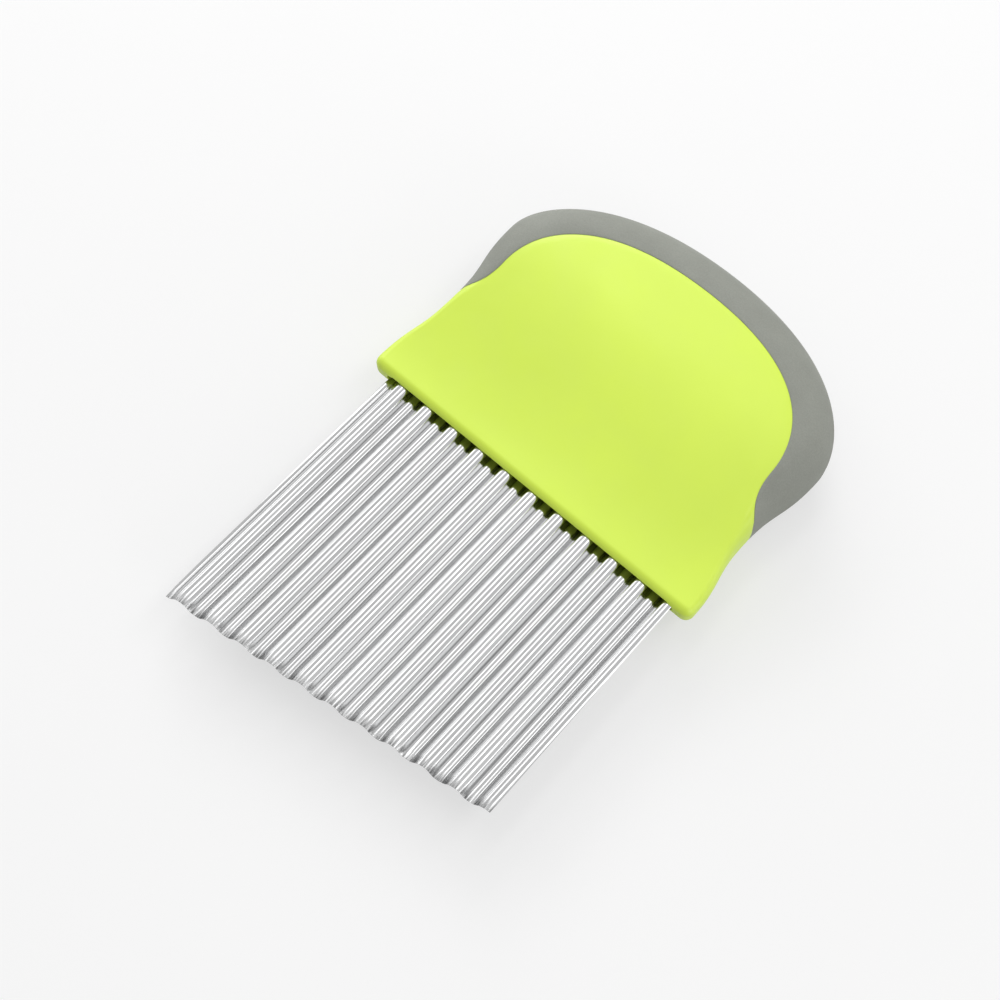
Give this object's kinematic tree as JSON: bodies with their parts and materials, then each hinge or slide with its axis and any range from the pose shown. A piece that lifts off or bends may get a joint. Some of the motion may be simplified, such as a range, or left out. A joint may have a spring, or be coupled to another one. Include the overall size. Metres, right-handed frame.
{
  "type": "crinkle cutter",
  "caption": "Hand-held crinkle cutter: a wide corrugated steel blade held in a flat plastic handle that swells to a palm end wrapped in a soft grip cap, for cutting wavy slices.",
  "frame": {"origin": "middle of the whole cutter's outline, on the plane it rests on under the palm end", "axes": "+Y from the cutting edge towards the palm end, +X across the blade to the right as seen from the front, +Z out of the front face"},
  "size_m": [0.101, 0.1574, 0.025],
  "materials": {
    "steel": "bright stainless sheet with fine lines along the flutes",
    "handle_green": "satin yellow-green moulded plastic",
    "grip_grey": "matte warm grey soft-touch rubber with a fine grain"
  },
  "bodies": {
    "root": {"blade": "steel", "front_shell": "handle_green", "rear_shell": "handle_green", "grip_cap": "grip_grey", "tang_pin_1": "steel", "tang_pin_2": "steel", "tang_pin_3": "steel", "tang_pin_4": "steel"}
  },
  "joints": []
}
